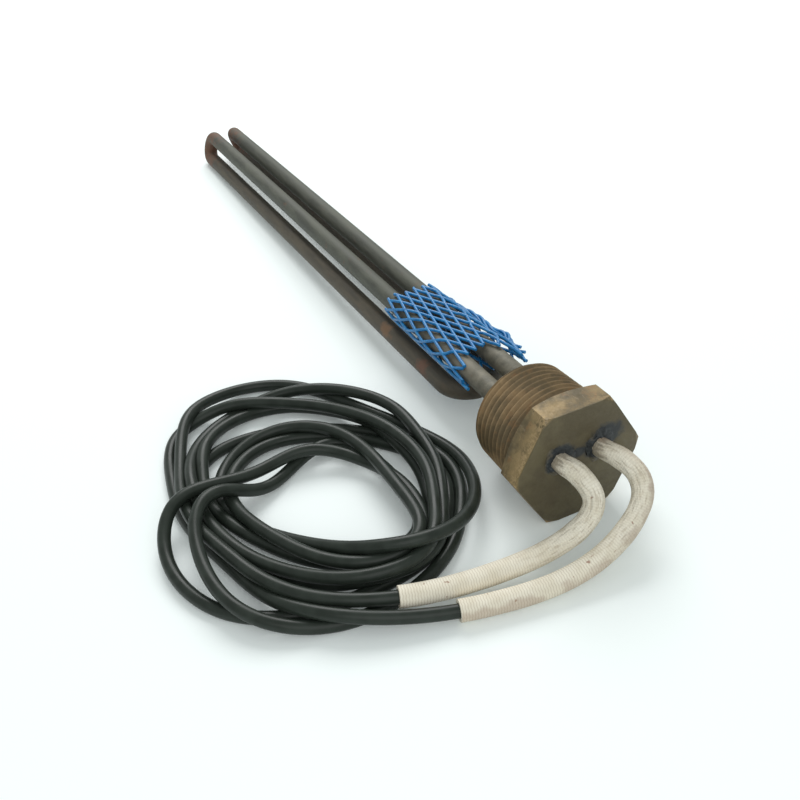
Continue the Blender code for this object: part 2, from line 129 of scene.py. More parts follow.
POCKET_MOUTHS = {
    LEFT: [(-6.3, -158.49, 20.81), (-6.3, -162.08, 20.91)],
    RIGHT: [(6.3, -158.49, 20.81), (6.3, -162.08, 20.91)],
}
SLEEVE_ROUTES = {
    LEFT: [
        (-4.8, -167.0, 20.2), (-3.2, -171.2, 18.2), (-3.2, -173.8, 14.8), (-7.3, -174.8, 10.6),
        (-15.3, -174.9, 7.4), (-24.7, -174.4, 5.4), (-35.3, -172.6, 3.9), (-46.0, -170.4, 3.0),
        (-59.6, -166.4, 2.6),
    ],
    RIGHT: [
        (8.6, -168.0, 20.4), (10.3, -173.2, 18.6), (9.6, -176.8, 15.4), (4.4, -180.0, 11.4),
        (-3.4, -182.6, 8.2), (-11.8, -184.0, 5.6), (-21.2, -183.9, 3.8), (-30.7, -182.1, 2.9),
        (-39.9, -180.2, 2.6), (-47.2, -178.6, 2.6),
    ],
}
COIL_MIDDLE = (-63.0, -117.0)
COIL_STEP = 15.0
READING_HEIGHT = 4.0

# Distance of each turn from the coil's middle, every 15 degrees, clockwise from the side
# that the leads come in on. A pair is a distance and how many steps further round it lies.
# Each point is where the photograph shows the lead, taken to be READING_HEIGHT up.

COIL_TURNS = {
    RIGHT: [
        [56.3, 49.5, 44.5, 39.2, 34.8, 33.5, 35, 37.5, 39.5, 46.3, 54, 55,
         49.5, 43.8, 41, 37, 36.5, 34.3, 34.7, 35.3, 35.7, 37, 43.5, 42.5],
        [40, 36.5, 32.7, 31, 29.5, 29.5, 30, 31.5, 34.5, 37.3, 44.8, 46.5,
         49.5, 52, 50, 48, 45.4, 39.8, 38.6, 38.5, 38, 39.5, 45, 44],
        [42, 39.5, 35.5, 33, 31, 31, 31.5, 32, 34, 37, 37, 33.5,
         31, 30, 28, 28.5, 31.5, 33, 38.5, 42.6, 43.4, 44.5, 48.3, 50],
        [52.5, 53, 51.3, 47.4, 41.8, 37.3, 34.3, 32.7, (29, 0.3), (24, -0.7), (16.6, -2.8),
         (10.6, -2.5), (12.4, -0.4), 17, 20.6, 25, 22.5, 21.8, 21.8, 24, 27, 32, 40, 36, 31],
    ],
    LEFT: [
        [49.3, 44, 40.5, 36, 32.5, 31, 33, 36, 38, 42, 51.5, 60.5,
         59.8, 55.4, 46.3, 40.5, 39.2, 39.5, 42, 46, 47.6, 47.7, 41, 34.2],
        [28.5, 24, 21, 20.6, 20.5, 21, 23, 25.5, 27, 27.7, 30.5, 31.5,
         32.3, 31.5, 29.5, 26.6, 23.8, 22.3, 22.8, 23.3, 25.5, 31.5, 40, 37],
        [34.5, 29.3, 24.2, 21, 19.8, 20, 21, 23, 24.5, 25, 26.5, 27,
         27, 26, 24.5, 25, 27.7, 28.3, 33, 38, 41, 41, 45.5, 45.5],
        [44.5, 47, 48.5, 50, 48, 46.3, 43.2, 40.7, 37.5, (21.2, -0.25), (17.4, -0.5), (17, -0.3),
         19.2, 20.5, 19.5, 17.3, 17.8, 19.7, 21, 25, 28.5, 33, 41, 39],
        [35.5, 31, 27, 24.5, 23.5, 24, 25, 28, 33, 35.7, 42.8, 44.5,
         45.5, 42.5, 38.5, 36, 34, 31, 32, 33, 34, 35.5, 42.5, 41, 38],
    ],
}

# The left lead's first reading lies at its sleeve's last point, so its coil starts from the next.

FIRST_READING = {LEFT: 1, RIGHT: 0}

# Which stretch lies over which: pairs of turns from the start and level.

COIL_LEVELS = {
    RIGHT: [
        (0, 8), (0.1, 7), (0.25, 0), (0.4, 0.3), (0.47, 0.8), (0.6, 4), (0.8, 5.5), (0.9, 5),
        (1, 4), (1.12, 4), (1.25, 2), (1.5, 1), (1.57, 1.5), (1.75, 4), (1.9, 4), (2, 2),
        (2.25, 1), (2.5, 1), (2.75, 3), (2.9, 0.5), (3, 0), (3.1, 2), (3.2, 8), (3.35, 9),
        (3.45, 1), (3.6, 0), (3.75, 2), (4, 3),
    ],
    LEFT: [
        (0, 7), (0.08, 6), (0.25, 1), (0.38, 3.5), (0.45, 4), (0.54, 0), (0.75, 0), (0.83, 2),
        (0.88, 9), (1, 6), (1.1, 1), (1.25, 0), (1.5, 3), (1.6, 6), (1.75, 8), (1.88, 7),
        (2, 5), (2.1, 4), (2.25, 1.5), (2.5, 1), (2.75, 0.5), (2.9, 0.5), (3, 0), (3.1, 2),
        (3.2, 8), (3.35, 8), (3.45, 3), (3.6, 1), (3.75, 4), (4, 4), (4.25, 2), (4.5, 1.5),
        (4.75, 1), (5, 2),
    ],
}
LEVEL_RISE = 5.0

# How the leads settle. A larger stiffness keeps a wire straighter. A hold is the share of
# its way back that a point is moved in one step.

SETTLE_SPACING = 2.5
LEAD_SPACING = 1.2
SETTLE_STEPS = 300
LATE_STEP = 240
FINISH_STEPS = 45
NEIGHBOURS_APART = 5
STEPS_PER_SEARCH = 6
SETTLING_GAP = 0.1
PUSH_ROUNDS = 8
PUSH_SHARE = 0.35
READ_LINE_STIFFNESS = 12.0
SETTLING_STIFFNESS = 100.0
FINISHING_STIFFNESS = 6.0
SLOWEST_SINKING = 0.01
ADDED_SINKING = 0.2
EARLY_SIGHT_HOLD, LATE_SIGHT_HOLD = 0.8, 0.02
EARLY_BEND_HOLD, LATE_BEND_HOLD = 0.8, 0.1
FINISHING_SIGHT_HOLD = 0.2
SLEEVE_HOLD = 0.5
SLEEVE_GIVE = 0.04
LAST_FIXED_POINT = 3


def smooth_line(points, step):
    """Points about step apart on a smooth curve through the given rows of numbers.

    The curve is first cut about four times finer, and then spaced evenly.
    """
    points = np.array(points, float)
    ends = np.vstack([2 * points[0] - points[1], points, 2 * points[-1] - points[-2]])
    line = []
    for before, start, end, after in zip(ends, ends[1:], ends[2:], ends[3:]):
        count = max(2, int(np.linalg.norm((end - start)[:3]) / step * 4))
        for index in range(count):
            t = index / count
            line.append(
                0.5
                * (
                    2 * start
                    + (end - before) * t
                    + (2 * before - 5 * start + 4 * end - after) * t**2
                    + (3 * start - before - 3 * end + after) * t**3
                )
            )
    line.append(points[-1])
    return evenly_spaced(np.array(line), step)


def evenly_spaced(line, step):
    """Points about step apart along a line of straight stretches."""
    along = np.r_[0, np.cumsum(np.linalg.norm(np.diff(line[:, :3], axis=0), axis=1))]
    count = max(2, int(round(along[-1] / step)))
    places = np.linspace(0, along[-1], count + 1)
    return np.stack([np.interp(places, along, column) for column in line.T], -1)


def loose_lead(side):
    """The lead before it settles: x, y, z, starting height, hold and radius."""
    rows = []
    for x, y, z in POCKET_MOUTHS[side] + SLEEVE_ROUTES[side]:
        hold = 1.0 if z > SLEEVE_DIAMETER else 0.0
        rows.append((x, y, z, z, hold, SLEEVE_DIAMETER / 2))
    reach = [entry for turn in COIL_TURNS[side] for entry in turn]
    turns, levels = zip(*COIL_LEVELS[side])
    for index in range(FIRST_READING[side], len(reach)):
        radius, shift = reach[index] if isinstance(reach[index], tuple) else (reach[index], 0.0)
        angle = math.radians(-90 - COIL_STEP * (index + shift))
        level = np.interp(index * COIL_STEP / 360, turns, levels)
        rows.append((
            COIL_MIDDLE[0] + radius * math.cos(angle),
            COIL_MIDDLE[1] + radius * math.sin(angle),
            READING_HEIGHT,
            LEAD_DIAMETER / 2 + LEVEL_RISE * level,
            0.0,
            LEAD_DIAMETER / 2,
        ))
    return smooth_line(rows, SETTLE_SPACING)


def close_pairs(places, lead_of, order):
    """Pairs of points that may touch: near each other, and not neighbours on one lead."""
    gap = np.linalg.norm(places[:, None] - places[None], axis=2)
    one_lead = lead_of[:, None] == lead_of[None]
    neighbours = one_lead & (np.abs(order[:, None] - order[None]) < NEIGHBOURS_APART)
    return np.nonzero(np.triu((gap < 3 * SLEEVE_DIAMETER) & ~neighbours))


def stiffness(count, amount):
    """The matrix that evens out a row of numbers as a springy wire would."""
    bend = np.diff(np.eye(count), 2, axis=0)
    return np.linalg.inv(np.eye(count) + amount * bend.T @ bend)


def push_apart(places, pairs, apart, free, share):
    """Moves touching pairs apart, each point by its share of the overlap."""
    first, second = pairs
    line = places[first] - places[second]
    gap = np.linalg.norm(line, axis=1) + 1e-9
    push = line / gap[:, None] * (share * np.clip(apart - gap, 0, None))[:, None]
    for axis in range(3):
        moves = np.bincount(first, push[:, axis], len(places))
        moves -= np.bincount(second, push[:, axis], len(places))
        places[:, axis] += free[:, 0] * moves


def settle(leads):
    """Lets both leads sink onto the surface and each other, along the lines of sight.

    Each lead keeps to its line as the camera sees it, bends as a springy wire, and is pushed
    off whatever it touches. Late steps hold it less. The last steps even out the kinks that
    the pushes leave.
    """
    rows = np.vstack(leads)
    spans = np.cumsum([0] + [len(lead) for lead in leads])
    wires = [slice(start, end) for start, end in zip(spans, spans[1:])]
    lead_of = np.concatenate([np.full(len(lead), n) for n, lead in enumerate(leads)])
    order = np.concatenate([np.arange(len(lead)) for lead in leads])
    radius = rows[:, 5]
    free = 1 - np.clip(rows[:, 4:5], 0, 1)
    target = rows[:, :3].copy()
    for wire in wires:
        evened = stiffness(wire.stop - wire.start, READ_LINE_STIFFNESS) @ target[wire]
        target[wire] += free[wire] * (evened - target[wire])
    sight = target - np.array(CAMERA_PLACE)
    sight /= np.linalg.norm(sight, axis=1)[:, None]
    down = sight / -sight[:, 2:]
    places = target - down * (rows[:, 3] - target[:, 2])[:, None]
    springy = [stiffness(len(lead), SETTLING_STIFFNESS) for lead in leads]
    supple = [stiffness(len(lead), FINISHING_STIFFNESS) for lead in leads]
    for step in range(SETTLE_STEPS + FINISH_STEPS):
        finishing = step >= SETTLE_STEPS
        late = step > LATE_STEP
        if step % STEPS_PER_SEARCH == 0:
            pairs = close_pairs(places, lead_of, order)
            apart = radius[pairs[0]] + radius[pairs[1]] + (0.0 if finishing else SETTLING_GAP)
        miss = target - places
        across = miss - (miss * sight).sum(1)[:, None] * sight
        if finishing:
            places += FINISHING_SIGHT_HOLD * free * across
        else:
            sinking = SLOWEST_SINKING + ADDED_SINKING * (1 - step / SETTLE_STEPS) ** 1.5
            sight_hold = LATE_SIGHT_HOLD if late else EARLY_SIGHT_HOLD
            bend_hold = LATE_BEND_HOLD if late else EARLY_BEND_HOLD
            places += free * down * sinking
            places += free * across * sight_hold + (1 - free) * miss * SLEEVE_HOLD
            for wire, spring in zip(wires, springy):
                moved = places[wire] - target[wire]
                places[wire] += bend_hold * free[wire] * (spring @ moved - moved)
        for _ in range(PUSH_ROUNDS):
            push_apart(places, pairs, apart, free, PUSH_SHARE)
            places[:, 2] = np.maximum(places[:, 2], radius)
        if finishing:
            for wire, spring in zip(wires, supple):
                loose = np.maximum(free[wire], SLEEVE_GIVE * (order[wire, None] > LAST_FIXED_POINT))
                places[wire] += loose * (spring @ places[wire] - places[wire])
    places[:, 2] = np.maximum(places[:, 2], radius)
    return [places[wire] for wire in wires]


def sleeve_end_point(side, line):
    """The point of a settled line where its sleeve ends, which lies in its first quarter."""
    end = np.array(SLEEVE_ROUTES[side][-1])
    return line[np.argmin(np.linalg.norm((line - end)[: len(line) // 4, :2], axis=1))]


# Finishes


class Value:
    """A socket of a finish. Python's operators on it add its Math nodes."""

    def __init__(self, finish, socket):
        self.finish = finish
        self.socket = socket

    def maths(self, operation, first, second=0.0):
        return self.finish.node(
            "ShaderNodeMath", {"operation": operation}, {0: first, 1: second}
        )

    def __add__(self, other):
        return self.maths("ADD", self, other)

    def __radd__(self, other):
        return self.maths("ADD", other, self)

    def __sub__(self, other):
        return self.maths("SUBTRACT", self, other)

    def __rsub__(self, other):
        return self.maths("SUBTRACT", other, self)

    def __mul__(self, other):
        return self.maths("MULTIPLY", self, other)

    def __rmul__(self, other):
        return self.maths("MULTIPLY", other, self)

    def sine(self):
        return self.maths("SINE", self)

    def lesser(self, other):
        return self.maths("MINIMUM", self, other)

    def greater(self, other):
        return self.maths("MAXIMUM", self, other)


class Finish:
    """One material, built from nodes around a Principled shader."""

    def __init__(self, name):
        self.material = bpy.data.materials.new(name)
        self.material.use_nodes = True
        self.tree = self.material.node_tree
        self.shader = self.tree.nodes["Principled BSDF"]
        self.place = self.node("ShaderNodeTexCoord", output="Object")

    def node(self, kind, settings=None, sockets=None, output=0):
        node = self.tree.nodes.new(kind)
        for key, value in (settings or {}).items():
            setattr(node, key, value)
        self.fill(node, sockets or {})
        return Value(self, node.outputs[output])

    def fill(self, node, sockets):
        for key, value in sockets.items():
            if isinstance(value, Value):
                self.tree.links.new(value.socket, node.inputs[key])
            else:
                node.inputs[key].default_value = value

    def shade(self, **sockets):
        """Sets the shader's sockets: Base_Color=..., Roughness=..."""
        named = {key.replace("_", " "): value for key, value in sockets.items()}
        self.fill(self.shader, named)

    def noise(self, scale, detail=4.0, roughness=0.5, place=None):
        return self.node(
            "ShaderNodeTexNoise",
            None,
            {"Vector": place or self.place, "Scale": scale, "Detail": detail, "Roughness": roughness},
        )

    def stretched(self, scale):
        """Object coordinates, scaled apart along x, y and z."""
        return self.node("ShaderNodeMapping", None, {"Vector": self.place, "Scale": scale})

    def spread(self, value, low, high, to_low=0.0, to_high=1.0):
        return self.node(
            "ShaderNodeMapRange",
            {"interpolation_type": "SMOOTHSTEP"},
            {0: value, 1: low, 2: high, 3: to_low, 4: to_high},
        )

    def blend(self, share, first, second):
        """A mix of two colours. The node's sockets for colours are inputs 6 and 7 and output 2."""
        return self.node(
            "ShaderNodeMix", {"data_type": "RGBA"}, {0: share, 6: first, 7: second}, output=2
        )

    def bump(self, height, strength, distance, under=None):
        sockets = {"Height": height, "Strength": strength, "Distance": distance}
        if under:
            sockets["Normal"] = under
        return self.node("ShaderNodeBump", None, sockets)

    def attribute(self, name):
        return self.node("ShaderNodeAttribute", {"attribute_name": name}, output="Fac")

    def around_and_along(self):
        """A tube's own map: round its girth from 0 to 1, and metres along it."""
        axes = self.node("ShaderNodeUVMap", {"uv_map": "along"})
        parts = self.node("ShaderNodeSeparateXYZ", None, {0: axes}).socket.node.outputs
        return Value(self, parts[0]), Value(self, parts[1])

    def along_heater(self, axis=(0, 1, 0)):
        """Distance along one of the heater's own axes, in metres. y = 0 is the hexagon's face."""
        axis = LYING.to_3x3() @ Vector(axis)
        reach = self.node(
            "ShaderNodeVectorMath",
            {"operation": "DOT_PRODUCT"},
            {0: self.place, 1: tuple(axis)},
            output="Value",
        )
        return reach - axis.dot(heater_point(0, 0, 0))

    def near(self, point, size):
        """Distance from a point of the row frame, with each axis divided by its size."""
        scale = [1 / part for part in size]
        offset = [-part / width for part, width in zip(point, size)]
        moved = self.node(
            "ShaderNodeMapping", None, {"Vector": self.place, "Location": offset, "Scale": scale}
        )
        return self.node("ShaderNodeVectorMath", {"operation": "LENGTH"}, {0: moved}, output="Value")


def colour(red, green, blue):
    return (red, green, blue, 1.0)


def heater_point(x, y, z):
    """A point of the heater's own frame, in millimetres, in the row frame."""
    return LYING @ (Vector((x, y, z)) * MM)


# Smears of potting compound on the front face: x, z, half width and half height, in millimetres.

STAINS = (
    (8.8, 6.0, 5.0, 3.5),
    (4.2, 3.6, 2.9, 3.0),
    (0.4, 3.6, 3.0, 1.5),
    (-6.0, 5.2, 4.0, 3.0),
    (-8.6, 3.6, 1.9, 3.2),
)
STAIN_DEPTH = 3.0


def stain_mask(finish, low, high):
    """1 inside the smears of potting compound on the front face, 0 outside them."""
    reach = None
    for x, z, wide, tall in STAINS:
        centre = heater_point(x, 0.0, z)
        near = finish.near(centre, (wide * MM, STAIN_DEPTH * MM, tall * MM))
        reach = near if reach is None else reach.lesser(near)
    ragged = reach + (finish.noise(330, 5, 0.7) - 0.5) * 1.3
    return finish.spread(ragged, high, low)


def plug_finish():
    """Brass gone brown, with painted shade darkening the front face, rubbed edges that also carry a
    painted highlight, and painted highlights along the thread crests.
    """
    finish = Finish("aged_brass")
    wear_and_sheen = finish.attribute("wear_and_sheen")
    along = finish.along_heater()
    broad = finish.noise(110, 5, 0.6)
    fine = finish.noise(900, 4, 0.7)
    grime = finish.spread(broad, 0.38, 0.66)
    front = finish.spread(along, 0.5 * MM, 0.05 * MM)
    shank = finish.spread(along, (HEX_THICKNESS - 0.6) * MM, (HEX_THICKNESS + 0.6) * MM)
    flats = finish.blend(grime, colour(0.1, 0.076, 0.037), colour(0.275, 0.196, 0.09))
    # The front face's shades are painted shade: darker than the flats because little light falls on the
    # front.
    face = finish.blend(grime, colour(0.092, 0.074, 0.041), colour(0.125, 0.104, 0.057))
    thread = finish.blend(grime, colour(0.125, 0.09, 0.045), colour(0.25, 0.165, 0.078))
    # Painted highlight: the thread's crests are lightened as if lit, by the crest height in the
    # attribute.
    crest = finish.spread(wear_and_sheen, 0.62, 1.0) * finish.spread(broad, 0.3, 0.6, 0.35, 1.0)
    thread = finish.blend(crest * 0.75, thread, colour(0.36, 0.25, 0.135))
    body = finish.blend(front, flats, face)
    body = finish.blend(shank, body, thread)
    rust = finish.spread(finish.noise(240, 4, 0.65), 0.54, 0.7)
    body = finish.blend(rust * (1 - front) * 0.55, body, colour(0.25, 0.13, 0.05))
    scuffs = finish.spread(finish.noise(1.0, 3, 0.6, finish.stretched((900, 260, 620))), 0.6, 0.72)
    body = finish.blend(scuffs * (1 - front) * (1 - shank) * 0.3, body, colour(0.4, 0.3, 0.2))
    blots = finish.spread(finish.noise(230, 5, 0.7), 0.54, 0.7)
    body = finish.blend(blots * (1 - front) * (1 - shank) * 0.42, body, colour(0.07, 0.053, 0.029))
    specks = finish.spread(fine, 0.36, 0.28)
    body = finish.blend(specks * (1 - front) * 0.7, body, colour(0.045, 0.034, 0.022))
    # Rubbed edges: real wear on the bevels, lightened further as a painted highlight.
    rubbed_and_highlit = finish.spread(wear_and_sheen, 0.5, 0.9) * (1 - shank) * (1 - front) * finish.spread(fine, 0.42, 0.6)
    body = finish.blend(rubbed_and_highlit * 0.75, body, colour(0.5, 0.36, 0.19))
    dark = stain_mask(finish, 0.68, 1.3) * front * 0.94
    body = finish.blend(dark, body, colour(0.012, 0.016, 0.02))
    finish.shade(
        Base_Color=body,
        Metallic=(0.28 + wear_and_sheen * 0.12) * (1 - dark),
        Roughness=finish.spread(fine, 0.3, 0.7, 0.48, 0.64),
        Normal=finish.bump(fine + 0.6 * broad, 0.3, 0.0002),
    )
    return finish


# Patches on the left legs: place in the heater's own frame, in millimetres, and colour.
# Two are rusty and the last is pale.

SHEATH_PATCHES = (
    ((-11.0, 100.0, -3.6), (0.32, 0.15, 0.06)),
    ((-11.0, 72.0, -3.8), (0.26, 0.085, 0.045)),
    ((-7.4, 50.0, 7.0), (0.34, 0.3, 0.23)),
)
PATCH_REACH = (2.8 * MM, 4.2 * MM, 2.6 * MM)


def sheath_finish():
    """Steel darkened by heat, paler towards the plug and rusty at the tips."""
    finish = Finish("oxidised_steel")
    y = finish.node("ShaderNodeSeparateXYZ", None, {0: finish.place}, output=1)
    streaks = finish.noise(1.0, 5, 0.6, finish.stretched((420, 60, 420)))
    fine = finish.noise(1500, 3, 0.6)
    upper = finish.spread(finish.along_heater((0, 0, 1)), -1.5 * MM, 1.5 * MM)
    grey = finish.blend(
        finish.spread(streaks, 0.3, 0.72), colour(0.056, 0.058, 0.046), colour(0.108, 0.112, 0.088)
    )
    brown = finish.blend(
        finish.spread(streaks, 0.3, 0.72), colour(0.058, 0.05, 0.037), colour(0.109, 0.092, 0.066)
    )
    body = finish.blend(upper, brown, grey)
    cold_end = heater_point(0.0, 58.0, 0.0).y
    warm_end = heater_point(0.0, 92.0, 0.0).y
    cold = finish.spread(y + (streaks - 0.5) * 0.02, warm_end, cold_end) * upper
    mottle = finish.noise(300, 5, 0.65)
    beige = finish.blend(
        finish.spread(mottle, 0.25, 0.75), colour(0.095, 0.091, 0.069), colour(0.2, 0.182, 0.138)
    )
    body = finish.blend(cold, body, beige)
    tip_start = heater_point(0.0, 296.0, 0.0).y
    tip_end = heater_point(0.0, 318.0, 0.0).y
    rust = finish.spread(y + (mottle - 0.5) * 0.07, tip_start, tip_end)
    spots = finish.spread(finish.noise(170, 5, 0.7), 0.6, 0.72)
    rust = (rust + spots * 0.5).lesser(1.0)
    body = finish.blend(rust * 0.52, body, colour(0.19, 0.07, 0.034))
    for place, shade in SHEATH_PATCHES:
        near = finish.near(heater_point(*place), PATCH_REACH)
        patch = finish.spread(near + (mottle - 0.5) * 3.0, 1.3, 0.3)
        body = finish.blend(patch * 0.38, body, colour(*shade))
    finish.shade(
        Base_Color=body,
        Metallic=0.2 * (1 - rust),
        Roughness=finish.spread(streaks, 0.3, 0.7, 0.58, 0.72) + rust * 0.1,
        Normal=finish.bump(fine + streaks, 0.3, 0.00015),
    )
    return finish


def net_finish():
    finish = Finish("net_plastic")
    mottle = finish.noise(700, 3, 0.5)
    body = finish.blend(
        finish.spread(mottle, 0.3, 0.7), colour(0.006, 0.14, 0.38), colour(0.016, 0.225, 0.52)
    )
    finish.shade(
        Base_Color=body,
        Roughness=finish.spread(mottle, 0.3, 0.7, 0.3, 0.45),
        Normal=finish.bump(mottle, 0.3, 0.0001),
    )
    return finish


SLEEVE_RIB_PITCH = 0.74


def sleeve_finish(name, stained):
    """Braided glass: ribs round the sleeve with painted shade between them, crinkled lengthwise with
    painted shade in the creases, and stained near the plug.
    """
    finish = Finish(name)
    around, along = finish.around_and_along()
    turn = around * (2 * math.pi)
    ribs = ((along * (2 * math.pi / (SLEEVE_RIB_PITCH * MM))) + (turn * 12).sine() * 0.6).sine()
    creased = finish.spread(along, 0.052, 0.03)
    place = finish.node(
        "ShaderNodeCombineXYZ",
        None,
        {0: (turn + math.pi / 2).sine() * 3.4, 1: turn.sine() * 3.4, 2: along * 260},
    )
    crinkle = finish.noise(1.0, 3, 0.55, place)
    mottle = finish.noise(160, 5, 0.6)
    body = finish.blend(
        finish.spread(mottle, 0.3, 0.7), colour(0.74, 0.68, 0.55), colour(0.86, 0.81, 0.69)
    )
    # Painted shade in the grooves between the ribs.
    rib_gap_shade = finish.spread(ribs, 0.0, -0.95) * (1 - creased * 0.6)
    body = finish.blend(rib_gap_shade * 0.38, body, colour(0.4, 0.32, 0.22))
    # Painted shade in the lengthwise creases near the plug, following the valleys of the crinkled bump.
    streaks = finish.spread(crinkle, 0.5, 0.34) * creased
    body = finish.blend(streaks * 0.45, body, colour(0.45, 0.37, 0.26))
    sooty = finish.spread(crinkle + finish.spread(along, 0.008, 0.002) * 0.25, 0.5, 0.72)
    body = finish.blend(sooty * finish.spread(along, 0.01, 0.004) * 0.7, body, colour(0.17, 0.125, 0.075))
    specks = finish.spread(finish.noise(420, 3, 0.5), 0.68, 0.74)
    body = finish.blend(specks * 0.7, body, colour(0.25, 0.09, 0.04))
    if stained:
        band = finish.spread((turn - 2.4).sine() + (mottle - 0.5) * 2.2, 0.5, 1.1)
        body = finish.blend(band * 0.5, body, colour(0.29, 0.18, 0.11))
    finish.shade(
        Base_Color=body,
        Roughness=0.8,
        Normal=finish.bump(
            ribs * 0.5 + 0.5, 0.4, 0.00012, finish.bump(crinkle * creased, 0.9, 0.0012)
        ),
    )
    return finish


def lead_finish():
    finish = Finish("black_insulation")
    mottle = finish.noise(220, 3, 0.5)
    body = finish.blend(
        finish.spread(mottle, 0.3, 0.7), colour(0.0185, 0.024, 0.019), colour(0.027, 0.0345, 0.028)
    )
    finish.shade(
        Base_Color=body,
        Roughness=finish.spread(mottle, 0.3, 0.7, 0.3, 0.38),
        Specular_IOR_Level=0.22,
        Normal=finish.bump(finish.noise(900, 2, 0.5), 0.08, 0.0001),
    )
    return finish


def potting_finish():
    finish = Finish("potting_compound")
    lumps = finish.noise(650, 4, 0.6)
    body = finish.blend(
        finish.spread(lumps, 0.35, 0.7), colour(0.006, 0.008, 0.01), colour(0.02, 0.025, 0.028)
    )
    # Outside the smears the heap takes the front face's colour, which includes its painted shade.
    body = finish.blend(stain_mask(finish, 0.8, 1.3), colour(0.085, 0.07, 0.042), body)
    finish.shade(Base_Color=body, Roughness=0.5, Normal=finish.bump(lumps, 0.5, 0.0003))
    return finish


def plain_finish(name, dark, light, scale, roughness, metallic):
    """A finish for a piece that keeps its CAD shape: two shades in fine grain."""
    finish = Finish(name)
    grain = finish.noise(scale, 4, 0.6)
    finish.shade(
        Base_Color=finish.blend(finish.spread(grain, 0.3, 0.7), colour(*dark), colour(*light)),
        Roughness=roughness,
        Metallic=metallic,
        Normal=finish.bump(grain, 0.2, 0.0001),
    )
    return finish


# Modelling

# Points nearer than this, in metres, are merged.

MERGE_DISTANCE = 1e-6


def only(piece):
    """Selects one piece and nothing else."""
    for other in list(bpy.context.selected_objects):
        other.select_set(False)
    piece.select_set(True)
    bpy.context.view_layer.objects.active = piece


def start(operator, **sizes):
    """Adds a primitive, and returns it with its place worked into its mesh."""
    operator(**sizes)
    piece = bpy.context.object
    only(piece)
    bpy.ops.object.transform_apply(location=True, rotation=True, scale=True)
    return piece


def modify(piece, kind, **settings):
    """Adds one modifier and applies it."""
    only(piece)
    modifier = piece.modifiers.new(kind, kind)
    for key, value in settings.items():
        setattr(modifier, key, value)
    bpy.ops.object.modifier_apply(modifier=modifier.name)


def edit_mesh(piece, *steps):
    """Runs each step of mesh editing with the whole mesh selected."""
    only(piece)
    bpy.ops.object.mode_set(mode="EDIT")
    for operator, settings in steps:
        bpy.ops.mesh.select_all(action="SELECT")
        operator(**settings)
    bpy.ops.object.mode_set(mode="OBJECT")


def join(first, second):
    """Makes the second piece part of the first."""
    only(first)
    second.select_set(True)
    bpy.ops.object.join()


def discard(piece):
    bpy.data.objects.remove(piece, do_unlink=True)


def dress(piece, name, finish, slot, *nodes, smooth=35.0):
    """Names a finished piece, shades it, and puts it in the place of its CAD nodes."""
    piece.name = name
    piece.data.name = name
    piece.data.materials.clear()
    piece.data.materials.append(finish.material)
    only(piece)
    bpy.ops.object.shade_smooth_by_angle(angle=math.radians(smooth))
    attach(piece, "root")
    if nodes:
        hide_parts(*nodes)


def lay_down(piece):
    """Turns a piece from the heater's own frame into the row frame."""
    only(piece)
    piece.matrix_world = LYING @ piece.matrix_world
    bpy.ops.object.transform_apply(location=True, rotation=True, scale=True)


def tube_mesh(name, line, radii, sides, inner=None):
    """A closed tube along a line, with a map of its length and girth.

    radii is one radius, or a row of them for each ring. inner is the radius of its bore.
    """
    line = np.array(line, float)
    count = len(line)
    radii = np.broadcast_to(radii, (count, sides))
    heading = np.gradient(line, axis=0)
    heading /= np.linalg.norm(heading, axis=1)[:, None]
    side = np.cross(heading[0], (0.0, 0.0, 1.0))
    if np.linalg.norm(side) < 1e-3:
        side = np.cross(heading[0], (1.0, 0.0, 0.0))
    frames = []
    for direction in heading:
        side = side - direction * side.dot(direction)
        side /= np.linalg.norm(side)
        frames.append((side, np.cross(direction, side)))
    turn = 2 * math.pi * np.arange(sides) / sides
    along = np.r_[0, np.cumsum(np.linalg.norm(np.diff(line, axis=0), axis=1))]

    def rings(widths):
        out = []
        for point, (across, up), width in zip(line, frames, widths):
            out.append(
                point
                + np.outer(np.cos(turn) * width, across)
                + np.outer(np.sin(turn) * width, up)
            )
        return np.concatenate(out)

    points = [rings(radii)]
    faces, map_u, map_v = [], [], []

    def wall(offset, outwards):
        for row in range(count - 1):
            for k in range(sides):
                after = (k + 1) % sides
                a, b = offset + row * sides + k, offset + row * sides + after
                face = (a, b, b + sides, a + sides)
                u = (k / sides, (k + 1) / sides, (k + 1) / sides, k / sides)
                v = (along[row], along[row], along[row + 1], along[row + 1])
                if not outwards:
                    face, u, v = face[::-1], u[::-1], v[::-1]
                faces.append(face)
                map_u.extend(u)
                map_v.extend(v)

    wall(0, True)
    if inner:
        points.append(rings(np.full((count, sides), inner)))
        wall(count * sides, False)
    for row, flip in ((0, False), (count - 1, True)):
        ring = [row * sides + k for k in range(sides)]
        closing = [ring[::-1]]
        if inner:
            bore = count * sides
            closing = [(a, a + bore, b + bore, b) for a, b in zip(ring, ring[1:] + ring[:1])]
        for face in closing:
            faces.append(face[::-1] if flip else face)
            map_u.extend((0.0,) * len(face))
            map_v.extend((along[row],) * len(face))
    mesh = bpy.data.meshes.new(name)
    mesh.from_pydata(np.concatenate(points).tolist(), [], faces)
    layer = mesh.uv_layers.new(name="along")
    layer.data.foreach_set("uv", np.stack([map_u, map_v], -1).ravel())
    return add_object(name, mesh)


# The plug


def turned_body(profile, sides):
    """A closed body turned about the plug's axis from (radius, y) points in millimetres."""
    mesh = bpy.data.meshes.new("profile")
    points = [(radius * MM, y * MM, 0.0) for radius, y in profile]
    edges = [(n, (n + 1) % len(points)) for n in range(len(points))]
    mesh.from_pydata(points, edges, [])
    piece = add_object("profile", mesh)
    turning = {"steps": sides, "angle": 2 * math.pi, "center": (0, 0, 0), "axis": (0, 1, 0)}
    edit_mesh(
        piece,
        (bpy.ops.mesh.spin, turning),
        (bpy.ops.mesh.remove_doubles, {"threshold": MERGE_DISTANCE}),
        (bpy.ops.mesh.normals_make_consistent, {"inside": False}),
    )
    return piece


